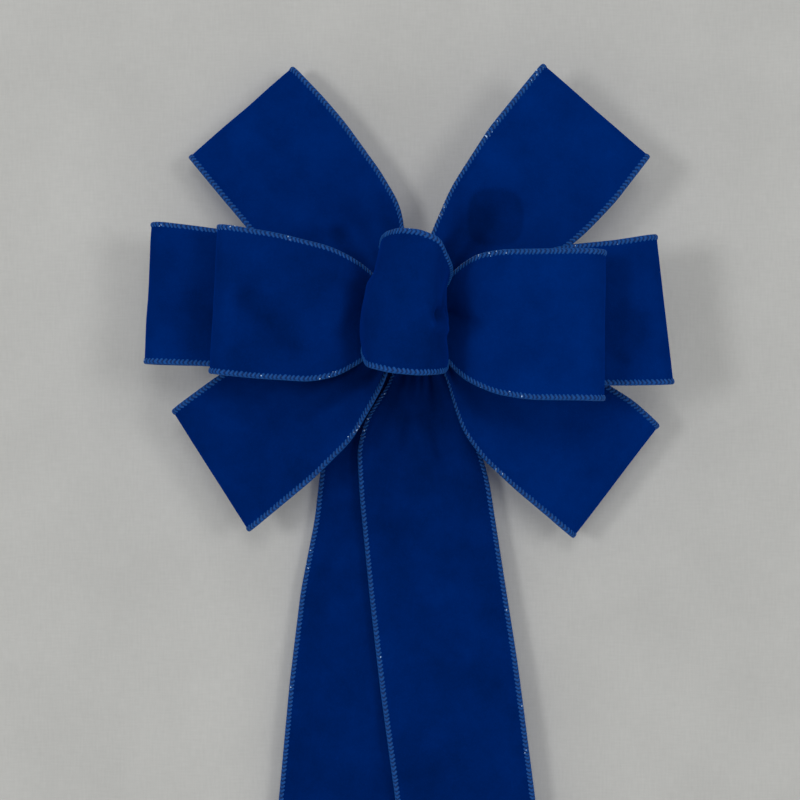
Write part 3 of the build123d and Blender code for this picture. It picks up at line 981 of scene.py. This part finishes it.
# lengths of the wall and the floor are in metres, the others in millimetres
room = {
    "wall": "#c7c7c5",
    "threadSize": 0.9,
    "cloudSize": 60.0,
    "wallHalf": 2.6,
    "wallTop": 1.6,
    "cove": 0.35,
    "clearance": 0.3,  # from the back of the bow to the wall
    "floor": "#eeefed",
    "patchSize": 900.0,
    "floorLevel": -1.1,
    "floorHalf": 60.0,  # far enough that no view shows its end
}


def linenWall():
    # painted canvas: matt, with a faint even weave and slow cloudy patches
    material, tree = newMaterial("paintedLinenCanvas")
    place = addNode(tree, "ShaderNodeTexCoord").outputs["Object"]
    upright = addNode(tree, "ShaderNodeMapping", None, {"Vector": place, "Scale": (1.0, 1.0, 0.12)})
    level = addNode(tree, "ShaderNodeMapping", None, {"Vector": place, "Scale": (0.12, 1.0, 1.0)})
    warp = addNode(tree, "ShaderNodeTexNoise", None, {
        "Vector": upright.outputs[0], "Scale": 1 / (room["threadSize"] * mm), "Detail": 2.0,
    })
    weft = addNode(tree, "ShaderNodeTexNoise", None, {
        "Vector": level.outputs[0], "Scale": 1 / (room["threadSize"] * mm), "Detail": 2.0,
    })
    threads = addNode(tree, "ShaderNodeMath", {"operation": "ADD"}, {
        0: warp.outputs["Fac"], 1: weft.outputs["Fac"],
    })
    clouds = addNode(tree, "ShaderNodeTexNoise", None, {
        "Vector": place, "Scale": 1 / (room["cloudSize"] * mm), "Detail": 4.0,
    })
    mixed = addNode(tree, "ShaderNodeMath", {"operation": "MULTIPLY_ADD"}, {
        0: threads.outputs[0], 1: 0.6, 2: clouds.outputs["Fac"],
    })
    tone = addNode(tree, "ShaderNodeMapRange", None, {
        "Value": mixed.outputs[0], "From Min": 0.7, "From Max": 1.5, "To Min": 0.9, "To Max": 1.05,
    })
    colour = addNode(tree, "ShaderNodeVectorMath", {"operation": "SCALE"}, {
        0: linear(room["wall"])[:3], "Scale": tone.outputs[0],
    })
    bump = addNode(tree, "ShaderNodeBump", None, {
        "Height": threads.outputs[0], "Strength": 0.15, "Distance": 0.2 * mm,
    })
    shader = addNode(tree, "ShaderNodeBsdfPrincipled", None, {
        "Base Color": colour.outputs[0], "Roughness": 0.9, "IOR": 1.5, "Specular IOR Level": 0.15,
        "Normal": bump.outputs[0],
    })
    # from behind, the wall is out of the way
    behind = addNode(tree, "ShaderNodeNewGeometry").outputs["Backfacing"]
    clear = addNode(tree, "ShaderNodeBsdfTransparent")
    either = addNode(tree, "ShaderNodeMixShader", None, {
        0: behind, 1: shader.outputs[0], 2: clear.outputs[0],
    })
    addNode(tree, "ShaderNodeOutputMaterial", None, {"Surface": either.outputs[0]})
    return material


def paintedFloor():
    # matt floor paint rolled on concrete: pale, with slow uneven patches and no gloss
    material, tree = newMaterial("rolledFloorPaint")
    place = addNode(tree, "ShaderNodeTexCoord").outputs["Object"]
    patches = addNode(tree, "ShaderNodeTexNoise", None, {
        "Vector": place, "Scale": 1 / (room["patchSize"] * mm), "Detail": 1.0,
    })
    tone = addNode(tree, "ShaderNodeMapRange", None, {
        "Value": patches.outputs["Fac"], "To Min": 0.97, "To Max": 1.03,
    })
    colour = addNode(tree, "ShaderNodeVectorMath", {"operation": "SCALE"}, {
        0: linear(room["floor"])[:3], "Scale": tone.outputs[0],
    })
    shader = addNode(tree, "ShaderNodeBsdfPrincipled", None, {
        "Base Color": colour.outputs[0], "Roughness": 0.9, "IOR": 1.5, "Specular IOR Level": 0.1,
    })
    addNode(tree, "ShaderNodeOutputMaterial", None, {"Surface": shader.outputs[0]})
    return material


def makeRoom():
    # the wall comes down to the floor in a cove; the floor goes on behind it
    cove, level = room["cove"], room["floorLevel"]
    bend = np.linspace(0, math.pi / 2, 16)
    profile = [(-cove + cove * math.cos(a), level + cove - cove * math.sin(a)) for a in bend]
    profile.insert(0, (0.0, room["wallTop"]))
    points = np.array([[(x, y, z) for x in (-room["wallHalf"], room["wallHalf"])] for y, z in profile])
    backdrop = newMesh("backdrop", points, gridFaces(len(profile), 2), [linenWall()])
    backdrop.location.y = room["clearance"] * mm
    backdrop.visible_shadow = False
    half = room["floorHalf"]
    under = level - mm  # so that the cove's foot shows on top of it
    corners = [(-half, -half, under), (half, -half, under), (half, half, under), (-half, half, under)]
    floor = newMesh("floor", np.array(corners), [(0, 1, 2, 3)], [paintedFloor()])


makeRoom()


def softLight(name, place, aim, size, power):
    lamp = bpy.data.lights.new(name, "AREA")
    lamp.shape, lamp.size, lamp.energy = "DISK", size, power
    light = bpy.data.objects.new(name, lamp)
    bpy.context.scene.collection.objects.link(light)
    light.location = place
    towards = unit(np.array(aim) - np.array(place))
    light.rotation_euler = (math.acos(-towards[2]), 0.0, math.atan2(towards[1], towards[0]) - math.pi / 2)


# each light's place in metres, its width, and its power in watts
lights = {
    "softboxLeft": ((-0.66, -1.35, 0.02), 0.30, 4.1),
    "softboxRight": ((0.66, -1.35, 0.10), 0.40, 3.0),
    "overCamera": ((0.02, -1.45, 0.30), 0.40, 3.2),
    "behindForBackViews": ((-0.6, 1.6, 0.5), 1.2, 15.0),
}
for name, (place, size, power) in lights.items():
    softLight(name, place, (0, 0, -0.05), size, power)

surround = {"colour": "#ececea", "strength": 0.51}
world = bpy.data.worlds.new("pale studio")
world.use_nodes = True
background = world.node_tree.nodes["Background"]
background.inputs["Color"].default_value = linear(surround["colour"])
background.inputs["Strength"].default_value = surround["strength"]
bpy.context.scene.world = world
bpy.context.scene.view_settings.view_transform = "Standard"

# straight in front of the wall, a little below the throat and left of it
view = {"lens": 84.16, "sensor": 36.0, "place": (-5.5, -886, -54.6)}
cameraData = bpy.data.cameras.new("camera")
cameraData.lens, cameraData.sensor_width = view["lens"], view["sensor"]
camera = bpy.data.objects.new("camera", cameraData)
bpy.context.scene.collection.objects.link(camera)
camera.location = [part * mm for part in view["place"]]
camera.rotation_euler = (math.pi / 2, 0, 0)
bpy.context.scene.camera = camera
print("room, lights and camera set")
